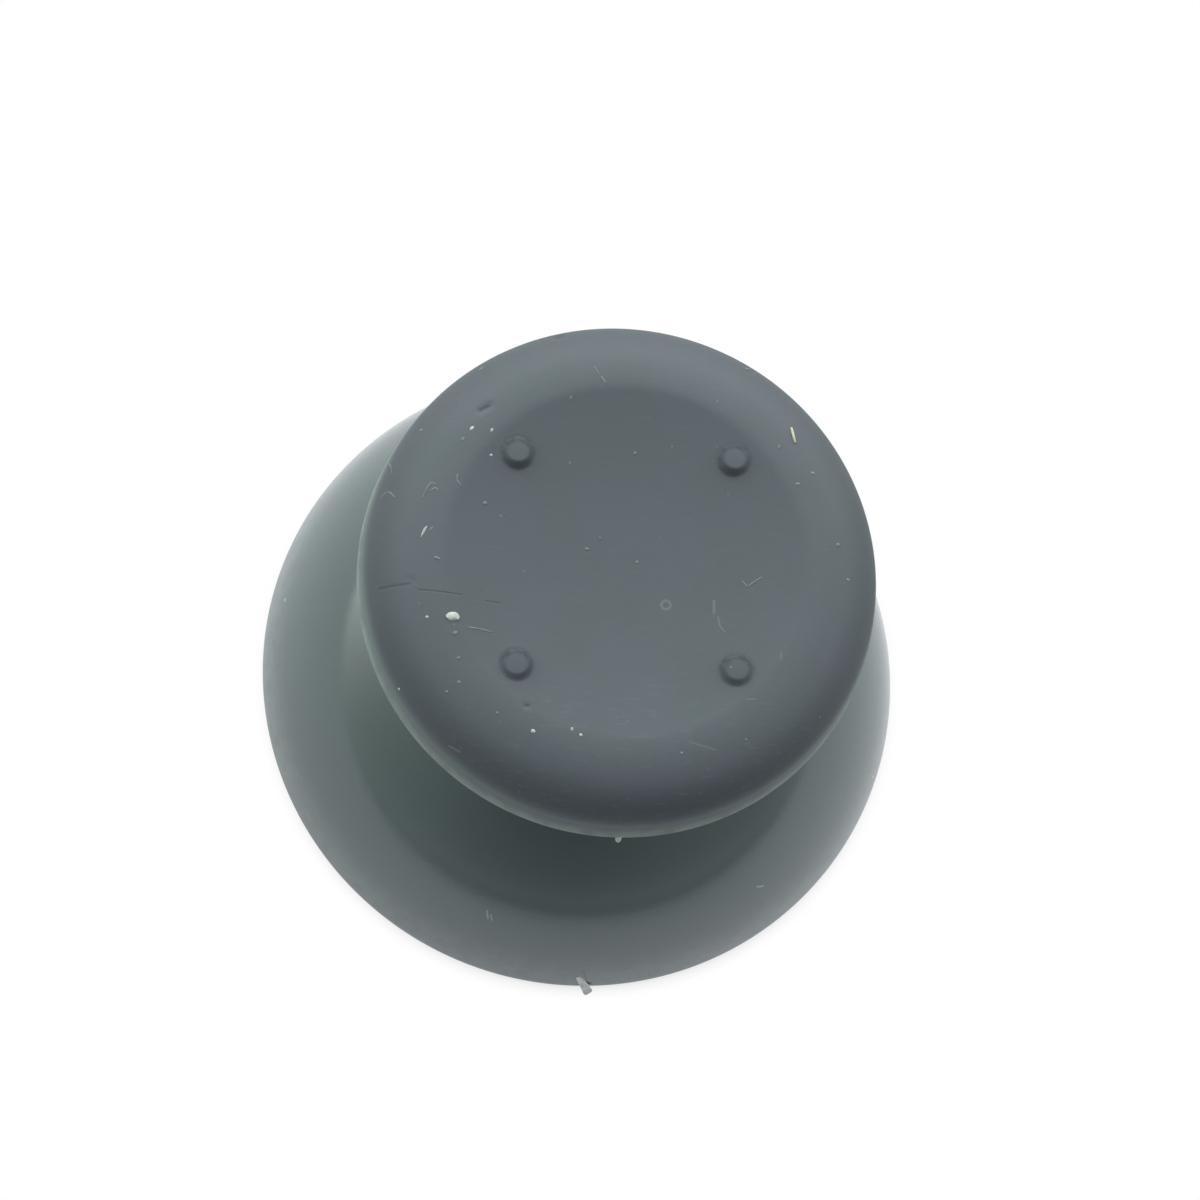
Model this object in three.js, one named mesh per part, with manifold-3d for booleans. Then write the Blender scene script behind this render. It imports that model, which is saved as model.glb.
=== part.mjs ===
// Thumbstick cap: a hard moulded stick with a soft grip pad moulded over its flange.
// Millimetres, +Z up. The origin is on the axis, in the plane of the skirt's rim.
import * as THREE from 'three';
import * as BufferGeometryUtils from 'three/addons/utils/BufferGeometryUtils.js';
import Module from 'manifold-3d';

// Domed skirt
const SKIRT_RADIUS = 12;          // widest point of the skirt, just over its rim
const DOME_HEIGHT = 9;            // height at which the skirt's sphere would close on the axis
const SKIRT_WALL = 1.2;           // thickness of the domed wall
const RIM_ROUND = 0.18;           // rounding of the rim's outer edge

// Neck and flange
const NECK_RADIUS = 4.8;          // narrowest part, between dome and pad
const NECK_STRAIGHT = 0.62;       // straight height between the neck's two fillets
const DOME_FILLET = 2.5;          // fillet where the neck leaves the dome
const FLANGE_FILLET = 2.4;        // fillet where the neck flares under the pad
const FLANGE_EDGE = 0.82;         // height of the edge of the disc that carries the pad
const UNDERSIDE_RISE_DEG = 12;    // slope of the disc's underside, up and outwards

// Post, socket and webs inside the skirt
const SOCKET_RADIUS = 2.1;        // round sides of the double-D socket
const SOCKET_FLATS = 3.2;         // distance across its two flats
const SOCKET_DEPTH = 6;
const LEAD_IN = 0.35;             // cone at the socket's mouth
const POST_WALL = 1.4;            // wall of the post round the socket
const POST_RECESS = 1;            // the post's end lies this far above the rim
const POST_ROUND = 0.25;          // rounding of the post's end
const CEILING_FILLET = 0.6;       // fillet where the post meets the inside of the dome
const WEB_COUNT = 4;
const WEB_THICKNESS = 0.8;
const WEB_LENGTH = 3.8;           // from the post out to where a web runs out in the dome
const WEB_HEIGHT = 2.4;           // height of a web against the post

// Grip pad
const PAD_RADIUS = 8.9;           // lower edge of the pad
const PAD_WALL = 0.8;             // rubber round the edge of the disc
const PAD_COVER = 1.38;           // rubber over the disc, in the middle of the dish
const PAD_EDGE_ROUND = 0.15;      // rounding of the lower edge
const SIDE_DRAFT = 0.15;          // how far the side leans in, up to the shoulder
const SHOULDER_DROP = 1.8;        // from the crest down to where the side begins
const CREST_RADIUS = 6.25;        // highest ring of the pad, round the dish
const CREST_ROUND = 1.6;          // rounding from the crest into the dish
const DISH_DEPTH = 0.57;          // depth of the dish below the crest

// Bumps on the wall of the dish
const BUMP_COUNT = 4;
const BUMP_INSET = 1.07;          // from the crest in to the middle of a bump
const BUMP_RADIUS = 0.5;
const BUMP_HEIGHT = 0.26;         // above the surface of the dish
const BUMP_ROUND = 0.24;          // rounding of a bump's top edge

// Fineness of the round surfaces
const TURNS = 64;                 // facets round the axis
const BUMP_TURNS = 20;
const DISH_RINGS = 7;
const CHORD_ERROR = 0.015;        // how far a profile's chord may lie from its arc

const wasm = await Module();
wasm.setup();

// Profile helpers: points are (radius, height)

/** Points of an ellipse's arc, with both ends. Angles are in radians from the outward direction. */
function arc(centreR, centreZ, radiusR, radiusZ, from, to) {
  const largestStep = 2 * Math.acos(1 - CHORD_ERROR / Math.max(radiusR, radiusZ));
  const steps = Math.max(2, Math.ceil(Math.abs(to - from) / largestStep));
  return Array.from({ length: steps + 1 }, (_, i) => {
    const angle = from + ((to - from) * i) / steps;
    return new THREE.Vector2(centreR + radiusR * Math.cos(angle), centreZ + radiusZ * Math.sin(angle));
  });
}

/** Points of a circle's arc between two directions, given as (radius, height) vectors from its centre. */
function arcBetween(centre, radius, fromDirection, toDirection) {
  const from = Math.atan2(fromDirection.y, fromDirection.x);
  let to = Math.atan2(toDirection.y, toDirection.x);
  if (to - from > Math.PI) to -= 2 * Math.PI;
  if (from - to > Math.PI) to += 2 * Math.PI;
  return arc(centre.x, centre.y, radius, radius, from, to);
}

/** Leaves out points that repeat the one before. */
function withoutRepeats(points) {
  return points.filter((point, i) => i === 0 || point.distanceTo(points[i - 1]) > 1e-4);
}

// Solids

/** A solid from a closed geometry, with its doubled vertices merged and empty triangles dropped. */
function solid(geometry) {
  const bare = geometry.index ? geometry.clone() : BufferGeometryUtils.mergeVertices(geometry);
  bare.deleteAttribute('normal');
  bare.deleteAttribute('uv');
  const merged = BufferGeometryUtils.mergeVertices(bare);
  const index = merged.index.array;
  const triangles = [];
  for (let i = 0; i < index.length; i += 3) {
    const [a, b, c] = index.slice(i, i + 3);
    if (a !== b && b !== c && c !== a) triangles.push(a, b, c);
  }
  const mesh = new wasm.Mesh({
    numProp: 3,
    vertProperties: new Float32Array(merged.attributes.position.array),
    triVerts: new Uint32Array(triangles),
  });
  mesh.merge();
  return new wasm.Manifold(mesh);
}

/** Turns a profile about +Z. It runs up the outside of the material. */
function turned(points, turns = TURNS) {
  return new THREE.LatheGeometry(withoutRepeats(points), turns).rotateX(Math.PI / 2);
}

/** A named mesh from a finished solid. */
function namedMesh(name, body, material) {
  const { vertProperties, triVerts } = body.getMesh();
  const geometry = new THREE.BufferGeometry();
  geometry.setAttribute('position', new THREE.BufferAttribute(vertProperties, 3));
  geometry.setIndex(new THREE.BufferAttribute(triVerts, 1));
  geometry.computeVertexNormals();
  const mesh = new THREE.Mesh(geometry, material);
  mesh.name = name;
  return mesh;
}

// Hard moulding

// The dome's sphere passes over the axis at DOME_HEIGHT and runs into the rim's rounding.
const rimRoundCentre = new THREE.Vector2(SKIRT_RADIUS - RIM_ROUND, RIM_ROUND);
const overRound = DOME_HEIGHT - RIM_ROUND;
const domeRadius = (rimRoundCentre.x ** 2 + overRound ** 2 - RIM_ROUND ** 2) / (2 * (overRound - RIM_ROUND));
const domeCentre = new THREE.Vector2(0, DOME_HEIGHT - domeRadius);
const innerDomeRadius = domeRadius - SKIRT_WALL;
const innerDomeHeight = (radius) => domeCentre.y + Math.sqrt(innerDomeRadius ** 2 - radius ** 2);

// The neck's lower fillet touches the sphere from outside, and the neck from the side.
const domeFilletCentre = new THREE.Vector2(NECK_RADIUS + DOME_FILLET, 0);
domeFilletCentre.y = domeCentre.y + Math.sqrt((domeRadius + DOME_FILLET) ** 2 - domeFilletCentre.x ** 2);

// Its upper fillet touches the neck and the disc's sloping underside.
const flangeRadius = PAD_RADIUS - PAD_WALL;
const underRise = THREE.MathUtils.degToRad(UNDERSIDE_RISE_DEG);
const flangeFilletCentre = new THREE.Vector2(NECK_RADIUS + FLANGE_FILLET, domeFilletCentre.y + NECK_STRAIGHT);
const padUnderside = flangeFilletCentre.y + FLANGE_FILLET / Math.cos(underRise)
  + (flangeRadius - flangeFilletCentre.x) * Math.tan(underRise);
const flangeTop = padUnderside + FLANGE_EDGE;
const postRadius = SOCKET_RADIUS + POST_WALL;

/** Outside of the moulding, from the rim up over the dome and the neck to the disc's edge. */
function outsideProfile() {
  const down = new THREE.Vector2(0, -1);
  const inwards = new THREE.Vector2(-1, 0);
  const ontoRim = rimRoundCentre.clone().sub(domeCentre).normalize();
  const ontoDome = domeFilletCentre.clone().sub(domeCentre).normalize();
  const ontoUnderside = new THREE.Vector2(-Math.sin(underRise), Math.cos(underRise));
  return [
    ...arcBetween(rimRoundCentre, RIM_ROUND, down, ontoRim),
    ...arcBetween(domeCentre, domeRadius, ontoRim, ontoDome),
    ...arcBetween(domeFilletCentre, DOME_FILLET, ontoDome.clone().negate(), inwards),
    ...arcBetween(flangeFilletCentre, FLANGE_FILLET, inwards, ontoUnderside),
    new THREE.Vector2(flangeRadius, padUnderside),
    new THREE.Vector2(flangeRadius, flangeTop),
  ];
}

/** Inside of the skirt, from the post's end up the post and out over the ceiling to the rim. */
function insideProfile() {
  // The ceiling's fillet touches the post and, from below, the inside of the dome.
  const fillet = new THREE.Vector2(postRadius + CEILING_FILLET, 0);
  fillet.y = domeCentre.y + Math.sqrt((innerDomeRadius - CEILING_FILLET) ** 2 - fillet.x ** 2);
  const ontoCeiling = fillet.clone().sub(domeCentre).normalize();
  const innerRim = new THREE.Vector2(Math.sqrt(innerDomeRadius ** 2 - domeCentre.y ** 2), 0);
  return [
    ...arc(postRadius - POST_ROUND, POST_RECESS + POST_ROUND, POST_ROUND, POST_ROUND, -Math.PI / 2, 0),
    ...arcBetween(fillet, CEILING_FILLET, new THREE.Vector2(-1, 0), ontoCeiling),
    ...arcBetween(domeCentre, innerDomeRadius, ontoCeiling, innerRim.clone().sub(domeCentre)),
  ];
}

/** Double-D socket: a round hole with two flats, and a cone at its mouth. */
function socket() {
  const flatAngle = Math.asin(SOCKET_FLATS / 2 / SOCKET_RADIUS);
  const outline = new THREE.Shape();
  outline.absarc(0, 0, SOCKET_RADIUS, -flatAngle, flatAngle, false);
  outline.absarc(0, 0, SOCKET_RADIUS, Math.PI - flatAngle, Math.PI + flatAngle, false);
  const hole = new THREE.ExtrudeGeometry(outline, {
    depth: SOCKET_DEPTH + LEAD_IN,
    bevelEnabled: false,
    curveSegments: 8,
  }).translate(0, 0, POST_RECESS - LEAD_IN);
  const mouthRadius = SOCKET_RADIUS + LEAD_IN;
  const mouth = turned([
    new THREE.Vector2(0, POST_RECESS - LEAD_IN),
    new THREE.Vector2(mouthRadius + LEAD_IN, POST_RECESS - LEAD_IN),
    new THREE.Vector2(mouthRadius, POST_RECESS),
    new THREE.Vector2(0, POST_RECESS + mouthRadius),
  ]);
  return solid(hole).add(solid(mouth));
}

/** One thin web between the post and the inside of the dome, at an angle round the axis. */
function web(angle) {
  const rootRadius = SOCKET_RADIUS + POST_WALL / 2;
  const reach = postRadius + WEB_LENGTH;
  const midWall = innerDomeRadius + SKIRT_WALL / 2;
  const midWallHeight = (radius) => domeCentre.y + Math.sqrt(midWall ** 2 - radius ** 2);
  const lowest = innerDomeHeight(postRadius) - WEB_HEIGHT;
  const runOut = innerDomeHeight(reach);
  const outline = new THREE.Shape();
  outline.moveTo(rootRadius, lowest);
  outline.lineTo(postRadius, lowest);
  outline.quadraticCurveTo(postRadius + WEB_HEIGHT / 2, runOut, reach, runOut);
  outline.lineTo(reach, midWallHeight(reach));
  outline.lineTo(rootRadius, midWallHeight(rootRadius));
  outline.closePath();
  const geometry = new THREE.ExtrudeGeometry(outline, {
    depth: WEB_THICKNESS,
    bevelEnabled: false,
    curveSegments: 6,
  });
  geometry.rotateX(Math.PI / 2).translate(0, WEB_THICKNESS / 2, 0).rotateZ(angle);
  return solid(geometry);
}

function stickBody() {
  let body = solid(turned([
    new THREE.Vector2(0, POST_RECESS),
    ...insideProfile(),
    ...outsideProfile(),
    new THREE.Vector2(0, flangeTop),
  ]));
  for (let i = 0; i < WEB_COUNT; i += 1) {
    body = body.add(web(((i + 0.5) * 2 * Math.PI) / WEB_COUNT));
  }
  return body.subtract(socket());
}

// Grip pad

// The dish is part of a sphere that rolls over the crest by a rounding of its own.
const dishSum = (CREST_RADIUS ** 2 + DISH_DEPTH ** 2) / (2 * DISH_DEPTH);
const dishRadius = dishSum - CREST_ROUND;
const crestHeight = flangeTop + PAD_COVER + DISH_DEPTH;
const dishCentre = new THREE.Vector2(0, crestHeight - DISH_DEPTH + dishRadius);
const dishHeight = (radius) => dishCentre.y - Math.sqrt(dishRadius ** 2 - radius ** 2);

/** Top of the pad, from its side's turn over the shoulder and the crest to the middle of the dish. */
function topProfile() {
  const crestCentre = new THREE.Vector2(CREST_RADIUS, crestHeight - CREST_ROUND);
  const intoDish = dishCentre.clone().sub(crestCentre).normalize();
  const up = new THREE.Vector2(0, 1);
  const shoulderReach = PAD_RADIUS - SIDE_DRAFT - CREST_RADIUS;
  const dishEdge = (CREST_RADIUS * dishRadius) / dishSum;
  return [
    ...arc(CREST_RADIUS, crestHeight - SHOULDER_DROP, shoulderReach, SHOULDER_DROP, 0, Math.PI / 2),
    ...arcBetween(crestCentre, CREST_ROUND, up, intoDish),
    ...Array.from({ length: DISH_RINGS }, (_, i) => {
      const radius = dishEdge * (1 - (i + 1) / DISH_RINGS);
      return new THREE.Vector2(radius, dishHeight(radius));
    }),
  ];
}

/** One bump: a short pin with a rounded top, sunk a little into the pad. */
function bump(angle) {
  const ring = CREST_RADIUS - BUMP_INSET;
  const seat = dishHeight(ring);
  const top = seat + BUMP_HEIGHT;
  const geometry = turned([
    new THREE.Vector2(0, seat - BUMP_HEIGHT),
    new THREE.Vector2(BUMP_RADIUS, seat - BUMP_HEIGHT),
    ...arc(BUMP_RADIUS - BUMP_ROUND, top - BUMP_ROUND, BUMP_ROUND, BUMP_ROUND, 0, Math.PI / 2),
    new THREE.Vector2(0, top),
  ], BUMP_TURNS);
  geometry.translate(ring, 0, 0).rotateZ(angle);
  return solid(geometry);
}

function gripPad() {
  const edgeRound = arc(PAD_RADIUS - PAD_EDGE_ROUND, padUnderside + PAD_EDGE_ROUND,
    PAD_EDGE_ROUND, PAD_EDGE_ROUND, -Math.PI / 2, 0);
  let pad = solid(turned([
    new THREE.Vector2(0, flangeTop),
    new THREE.Vector2(flangeRadius, flangeTop),
    new THREE.Vector2(flangeRadius, padUnderside),
    ...edgeRound,
    ...topProfile(),
  ]));
  for (let i = 0; i < BUMP_COUNT; i += 1) {
    pad = pad.add(bump(((i + 0.5) * 2 * Math.PI) / BUMP_COUNT));
  }
  return pad;
}

// Materials and scene graph

const hardPlastic = new THREE.MeshStandardMaterial({ color: '#4f5a59', roughness: 0.22, metalness: 0 });
const softRubber = new THREE.MeshStandardMaterial({ color: '#62686f', roughness: 0.75, metalness: 0 });

const group = new THREE.Group();
group.name = 'thumbstick_cap';
group.add(namedMesh('stick_body', stickBody(), hardPlastic));
group.add(namedMesh('grip_pad', gripPad(), softRubber));

export default group;
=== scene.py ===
# %% [markdown]
# # Thumbstick cap
# A thumbstick cap is two materials moulded together. A hard, glossy stick has a hollow domed
# skirt, a neck and a flange, and a soft matt pad is moulded over the flange. This script loads
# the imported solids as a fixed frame, lays finer surfaces over them, and gives each surface a
# finish worked out in nodes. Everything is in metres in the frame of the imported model.

# %% Load the frame
import math

import bpy
import numpy as np
from mathutils import Matrix, Vector
from mathutils.bvhtree import BVHTree


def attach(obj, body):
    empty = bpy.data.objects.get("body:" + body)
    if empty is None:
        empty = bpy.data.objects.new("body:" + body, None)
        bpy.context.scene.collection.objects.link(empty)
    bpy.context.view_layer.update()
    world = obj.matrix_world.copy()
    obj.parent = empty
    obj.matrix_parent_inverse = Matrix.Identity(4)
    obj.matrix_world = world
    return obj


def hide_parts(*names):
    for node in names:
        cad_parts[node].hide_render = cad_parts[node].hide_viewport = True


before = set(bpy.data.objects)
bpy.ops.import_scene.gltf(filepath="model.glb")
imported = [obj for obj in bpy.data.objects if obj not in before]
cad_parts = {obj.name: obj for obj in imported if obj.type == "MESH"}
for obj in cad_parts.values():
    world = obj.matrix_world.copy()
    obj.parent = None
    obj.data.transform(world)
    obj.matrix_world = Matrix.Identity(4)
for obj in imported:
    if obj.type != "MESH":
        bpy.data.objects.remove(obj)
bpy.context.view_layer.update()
print("packed nodes:", sorted(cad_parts))

# %% [markdown]
# ## Sizes
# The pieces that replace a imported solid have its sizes. They are given in millimetres, as on a
# drawing, and become metres only where a mesh is made. What touches something else is worked
# out from it: the fillets touch the dome and the neck, and the pad stands on the flange.

# %% Sizes of the hard moulding
MM = 0.001

SKIRT_RADIUS = 12.0
DOME_HEIGHT = 9.0
SKIRT_WALL = 1.2
RIM_ROUND = 0.18
INNER_RIM_ROUND = 0.1
NECK_RADIUS = 4.8
NECK_STRAIGHT = 0.62
DOME_FILLET = 2.5
FLANGE_FILLET = 2.4
FLANGE_EDGE = 0.82
FLANGE_MIDDLE = 0.4
UNDERSIDE_RISE = math.radians(12)

SOCKET_RADIUS = 2.1
SOCKET_FLATS = 3.2
SOCKET_DEPTH = 6.0
LEAD_IN = 0.35
POST_WALL = 1.4
POST_RECESS = 1.0
POST_ROUND = 0.25
CEILING_FILLET = 0.6

WEB_COUNT = 4
WEB_THICKNESS = 0.8
WEB_LENGTH = 3.8
WEB_HEIGHT = 2.4
WEB_ROUND = 0.15

rim_centre = np.array([SKIRT_RADIUS - RIM_ROUND, RIM_ROUND])
over_rim = DOME_HEIGHT - RIM_ROUND
dome_radius = (rim_centre[0] ** 2 + over_rim**2 - RIM_ROUND**2) / (2 * (over_rim - RIM_ROUND))
dome_centre = np.array([0.0, DOME_HEIGHT - dome_radius])
inner_dome_radius = dome_radius - SKIRT_WALL
post_radius = SOCKET_RADIUS + POST_WALL

dome_fillet_x = NECK_RADIUS + DOME_FILLET
dome_fillet_z = dome_centre[1] + math.sqrt((dome_radius + DOME_FILLET) ** 2 - dome_fillet_x**2)
dome_fillet_centre = np.array([dome_fillet_x, dome_fillet_z])
flange_fillet_centre = np.array([NECK_RADIUS + FLANGE_FILLET, dome_fillet_z + NECK_STRAIGHT])
print(f"dome radius {dome_radius:.3f} mm, its centre at {dome_centre[1]:.3f} mm")

# %% Sizes of the pad
PAD_RADIUS = 8.9
PAD_WALL = 0.8
PAD_COVER = 1.38
PAD_EDGE_ROUND = 0.15
SIDE_DRAFT = 0.15
SHOULDER_DROP = 1.8
CREST_RADIUS = 6.25
CREST_ROUND = 1.6
DISH_DEPTH = 0.57

BUMP_COUNT = 4
BUMP_INSET = 1.07
BUMP_HEIGHT = 0.26
BUMP_WEAR = 0.04
BUMP_TOP = 0.36
BUMP_SPREAD = 0.6
BUMP_CROWN = 0.012
BUMP_LEAN = 0.03

flange_radius = PAD_RADIUS - PAD_WALL
pad_underside = (
    flange_fillet_centre[1]
    + FLANGE_FILLET / math.cos(UNDERSIDE_RISE)
    + (flange_radius - flange_fillet_centre[0]) * math.tan(UNDERSIDE_RISE)
)
flange_top = pad_underside + FLANGE_EDGE
crest_height = flange_top + PAD_COVER + DISH_DEPTH
dish_sum = (CREST_RADIUS**2 + DISH_DEPTH**2) / (2 * DISH_DEPTH)
dish_radius = dish_sum - CREST_ROUND
dish_centre = np.array([0.0, crest_height - DISH_DEPTH + dish_radius])
crest_centre = np.array([CREST_RADIUS, crest_height - CREST_ROUND])
bump_ring = CREST_RADIUS - BUMP_INSET
print(f"flange top {flange_top:.3f} mm, crest {crest_height:.3f} mm")

# %% [markdown]
# ## Camera
# The photograph looks down on the cap, leaning a little off the vertical towards the front.
# The camera is set by the distance, lean and turn that put the rim, the pad's outline and the
# four bumps where the photograph shows them. The same numbers send a ray through any pixel of
# the photograph, which is how the dust and the small marks find their places on the pad.

# %% Camera
IMAGE_SIZE = 1200
FOCAL_PX = 3125.37
SENSOR_MM = 36.0
CAMERA_DISTANCE = 120.0
CAMERA_LEAN = 0.28866
CAMERA_TURN = -1.94617
AIM_ON_FLOOR = np.array([0.79734, 2.89905, 0.0])


def camera_axes(lean, turn):
    """Right, up and backward directions of a camera that leans off the vertical towards turn.

    Backward has the sine of the lean along the turn and its cosine along +Z, up is what is
    left of +Y once its part along backward is taken away, and right completes the three.
    """
    back = np.array([
        math.sin(lean) * math.cos(turn),
        math.sin(lean) * math.sin(turn),
        math.cos(lean),
    ])
    up = np.array([0.0, 1.0, 0.0]) - back[1] * back
    up /= np.linalg.norm(up)
    return np.cross(up, back), up, back


cam_right, cam_up, cam_back = camera_axes(CAMERA_LEAN, CAMERA_TURN)
cam_place = AIM_ON_FLOOR + cam_back * CAMERA_DISTANCE

camera = bpy.data.objects.new("camera", bpy.data.cameras.new("camera"))
camera.data.sensor_width = SENSOR_MM
camera.data.lens = FOCAL_PX / IMAGE_SIZE * SENSOR_MM
camera.data.clip_start = 0.01
camera.data.clip_end = 20.0
camera.matrix_world = Matrix.Translation(cam_place * MM) @ Matrix(
    np.stack([cam_right, cam_up, cam_back], axis=1).tolist()
).to_4x4()
bpy.context.scene.collection.objects.link(camera)
bpy.context.scene.camera = camera
print(f"lens {camera.data.lens:.1f} mm, {cam_place[2]:.1f} mm above the floor")


def pixel_ray(pixel):
    """Direction of the ray through a pixel of the photograph, from the camera's place."""
    across = (pixel[0] - IMAGE_SIZE / 2) / FOCAL_PX
    down = (pixel[1] - IMAGE_SIZE / 2) / FOCAL_PX
    return across * cam_right - down * cam_up - cam_back


# %% [markdown]
# ## Surfaces from numbers
# Nearly every form here is turned or swept: rings of points, one behind the other, closed by a
# point at each end. One function joins such rings into faces, and another makes the mesh. The
# sign of the enclosed volume says whether the faces look outwards, so no form is inside out.

# %% Helpers for closed surfaces
SHARP_EDGE = math.radians(38)


def unit(vector):
    """The vector, or each of several, at length one."""
    return vector / np.linalg.norm(vector, axis=-1, keepdims=True)


def even_angles(count):
    """Angles of one full turn, evenly apart, the first at zero."""
    return np.arange(count) * 2 * math.pi / count


def arc(centre, radii, start, stop, step):
    """Points of an ellipse's arc, about step apart, with both ends.

    Each is the centre plus the radii times the cosine and the sine of an even angle.
    """
    count = max(2, math.ceil(abs(stop - start) * max(radii) / step))
    angle = np.linspace(start, stop, count + 1)
    return np.array(centre) + np.array(radii) * np.stack([np.cos(angle), np.sin(angle)], axis=1)


def arc_between(centre, radius, start, stop, step):
    """Points of a circle's arc from the direction start to the direction stop, the short way."""
    first = math.atan2(start[1], start[0])
    last = math.atan2(stop[1], stop[0])
    last += 2 * math.pi * round((first - last) / (2 * math.pi))
    return arc(centre, (radius, radius), first, last, step)


def line(start, stop, step):
    """Points of a straight line, about step apart, with both ends."""
    start, stop = np.array(start, float), np.array(stop, float)
    count = max(1, math.ceil(np.linalg.norm(stop - start) / step))
    return start + (stop - start) * np.linspace(0, 1, count + 1)[:, None]


def outline(*runs):
    """Runs of profile points put end to end, without points that repeat the one before."""
    points = np.concatenate(runs)
    apart = np.linalg.norm(np.diff(points, axis=0), axis=1)
    return points[np.concatenate([[True], apart > 1e-4])]


def turned(radius, height, angles):
    """Rings about +Z: the point at angle a is (radius cos a, radius sin a, height)."""
    x, y = radius * np.cos(angles), radius * np.sin(angles)
    return np.stack([x, y, height + 0 * angles], axis=-1)


def spun(points, turn):
    """Points turned about +Z by an angle a: (x cos a - y sin a, x sin a + y cos a, z)."""
    spin = np.array([
        [math.cos(turn), -math.sin(turn), 0],
        [math.sin(turn), math.cos(turn), 0],
        [0, 0, 1],
    ])
    return points @ spin.T


def closed_form(rings, first_pole, last_pole):
    """Points and faces of a form whose rings[i, j] are joined in quads and closed by two poles."""
    count, turns = rings.shape[:2]
    points = np.concatenate([rings.reshape(-1, 3), [first_pole, last_pole]])
    row = np.arange(count - 1)[:, None] * turns
    near = np.arange(turns)
    far = (near + 1) % turns
    quads = np.stack([row + near, row + far, row + turns + far, row + turns + near], axis=-1)
    end = (count - 1) * turns
    pole = np.full(turns, count * turns)
    fans = np.concatenate([
        np.stack([pole, far, near], axis=1),
        np.stack([pole + 1, end + near, end + far], axis=1),
    ])
    return facing_outwards(points, quads.reshape(-1, 4), fans)


def facing_outwards(points, quads, fans):
    """The same form with its faces turned round if it encloses a negative volume.

    The volume is a sixth of the sum of a · (b × c) over its triangles.
    """
    triangles = np.concatenate([quads[:, [0, 1, 2]], quads[:, [0, 2, 3]], fans])
    a, b, c = (points[triangles[:, k]] for k in range(3))
    volume = np.einsum("ij,ij->i", a, np.cross(b, c)).sum() / 6
    if volume < 0:
        quads, fans = quads[:, ::-1], fans[:, ::-1]
    return points, quads, fans


def joined(forms):
    """Several forms as one: their points, and their faces with the points' new numbers."""
    offset = np.cumsum([0] + [len(points) for points, _, _ in forms])
    points = np.concatenate([form[0] for form in forms])
    quads, fans = (
        np.concatenate([form[k] + start for form, start in zip(forms, offset)]) for k in (1, 2)
    )
    return points, quads, fans


def make_piece(name, forms, material):
    """One object from closed forms in millimetres, smooth but for its sharp edges."""
    points, quads, fans = joined(forms)
    mesh = bpy.data.meshes.new(name)
    mesh.from_pydata((points * MM).tolist(), [], quads.tolist() + fans.tolist())
    mesh.shade_smooth()
    mesh.set_sharp_from_angle(angle=SHARP_EDGE)
    mesh.materials.append(material)
    made = bpy.data.objects.new(name, mesh)
    bpy.context.scene.collection.objects.link(made)
    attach(made, "root")
    print(f"{name}: {2 * len(quads) + len(fans)} triangles")
    return made


# %% [markdown]
# ## Effects that several finishes share
# Moulded plastic and rubber have the same small things on them, in other amounts: a fine
# grain from the mould, dust, and marks of handling. Each is a node group with named sockets,
# so that a material only says how large and how strong it wants the effect. The groups read
# a position, which each material takes from the object's own coordinates.

# %% Small helpers for nodes
UPWARDS = (0.0, 0.0, 1.0)
BACKWARDS = (0.0, 1.0, 0.0)
IN_PLAN = (1.0, 1.0, 0.0)
NUMBERS = ("DOT_PRODUCT", "LENGTH", "DISTANCE")
MIX_SHARE, MIX_FIRST, MIX_SECOND, MIX_RESULT = 0, 6, 7, 2


def fill(tree, node, values):
    """Gives a node's inputs their values: numbers are set, other nodes' outputs are linked."""
    for name, value in values.items():
        if isinstance(value, bpy.types.NodeSocket):
            tree.links.new(value, node.inputs[name])
        else:
            node.inputs[name].default_value = value


def math_node(tree, operation, *values, clamp=False):
    """A math node's output."""
    node = tree.nodes.new("ShaderNodeMath")
    node.operation = operation
    node.use_clamp = clamp
    fill(tree, node, dict(enumerate(values)))
    return node.outputs[0]


def vector_node(tree, operation, *values):
    """A vector math node's output: a number if the operation gives one, or else a vector."""
    node = tree.nodes.new("ShaderNodeVectorMath")
    node.operation = operation
    fill(tree, node, dict(enumerate(values)))
    return node.outputs["Value" if operation in NUMBERS else "Vector"]


def fade(tree, value, full, none):
    """A smooth fall from 1 where the value is full to 0 where it is none."""
    node = tree.nodes.new("ShaderNodeMapRange")
    node.interpolation_type = "SMOOTHSTEP"
    fill(tree, node, {"Value": value, "From Min": none, "From Max": full})
    return node.outputs["Result"]


def noise(tree, position, scale, detail, rough=0.5):
    """Noise of about scale features a metre. Gives its value."""
    node = tree.nodes.new("ShaderNodeTexNoise")
    fill(tree, node, {"Vector": position, "Scale": scale, "Detail": detail, "Roughness": rough})
    return node.outputs[0]


def mix_colour(tree, share, first, second):
    """A colour between the first and the second, by the share."""
    node = tree.nodes.new("ShaderNodeMix")
    node.data_type = "RGBA"
    fill(tree, node, {MIX_SHARE: share, MIX_FIRST: first, MIX_SECOND: second})
    return node.outputs[MIX_RESULT]


def layered(tree, colour, *layers):
    """A colour with others laid over it, each by its own mask."""
    for mask, over in layers:
        colour = mix_colour(tree, mask, colour, over)
    return colour


def roughened(tree, rough, *changes):
    """A roughness with more added to it, each a mask times its share."""
    for mask, share in changes:
        rough = math_node(tree, "MULTIPLY_ADD", mask, share, rough)
    return rough


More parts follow.
